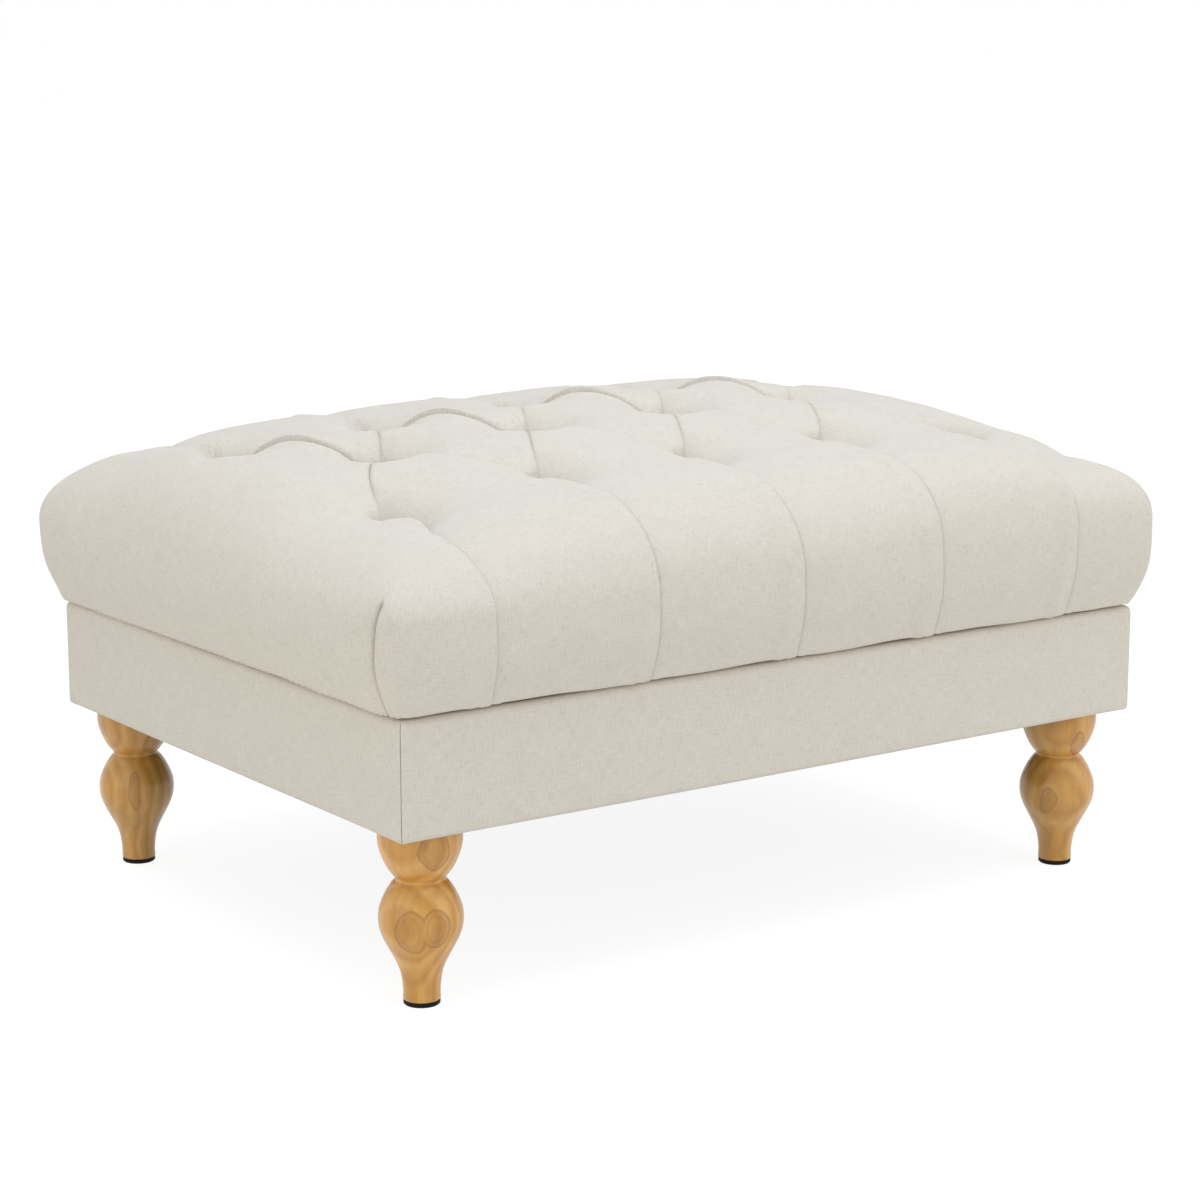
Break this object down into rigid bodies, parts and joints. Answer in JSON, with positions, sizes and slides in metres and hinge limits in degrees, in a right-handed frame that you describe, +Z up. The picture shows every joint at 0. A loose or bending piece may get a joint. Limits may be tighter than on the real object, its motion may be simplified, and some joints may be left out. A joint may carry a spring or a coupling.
{
  "type": "pouf",
  "caption": "Rectangular upholstered pouf: diamond tufted crowned cushion on a padded plinth, on turned wooden legs with glides.",
  "frame": {"origin": "on the floor under the middle of the pouf", "axes": "+X along the long side, +Y to the back, +Z up"},
  "size_m": [0.838, 0.638, 0.44],
  "materials": {
    "linen": "linen-look upholstery weave, matt, off-white cream",
    "leg_wood": "light honey hardwood, turned, satin lacquer",
    "glide_plastic": "black, satin",
    "frame_timber": "sawn and planed softwood, unfinished",
    "plywood": "plywood, unfinished",
    "foam": "cut upholstery foam",
    "padding": "needled fibre wadding",
    "dust_cloth": "black spun-bonded cloth",
    "twine": "waxed twine",
    "zinc_steel": "zinc plated"
  },
  "bodies": {
    "root": {"back_rail": "frame_timber", "corner_block_back_left": "frame_timber", "corner_block_back_right": "frame_timber", "corner_block_front_left": "frame_timber", "corner_block_front_right": "frame_timber", "dust_cover": "dust_cloth", "dust_cover_staples": "zinc_steel", "frame_screws": "zinc_steel", "front_rail": "frame_timber", "glide_back_left": "glide_plastic", "glide_back_right": "glide_plastic", "glide_front_left": "glide_plastic", "glide_front_right": "glide_plastic", "glide_nails": "zinc_steel", "hanger_bolts": "zinc_steel", "left_brace": "frame_timber", "left_rail": "frame_timber", "leg_back_left": "leg_wood", "leg_back_right": "leg_wood", "leg_front_left": "leg_wood", "leg_front_right": "leg_wood", "plinth_cover_back": "linen", "plinth_cover_front": "linen", "plinth_cover_left": "linen", "plinth_cover_right": "linen", "plinth_cover_staples": "zinc_steel", "plinth_padding": "padding", "right_brace": "frame_timber", "right_rail": "frame_timber", "seat_board": "plywood", "seat_board_screws": "zinc_steel", "seat_cover_staples": "zinc_steel", "seat_foam": "foam", "tee_nut_back_left": "zinc_steel", "tee_nut_back_right": "zinc_steel", "tee_nut_front_left": "zinc_steel", "tee_nut_front_right": "zinc_steel", "tuft_buttons": "linen", "tuft_twines": "twine", "tuft_washers": "zinc_steel", "tufted_cover": "linen"}
  },
  "joints": []
}
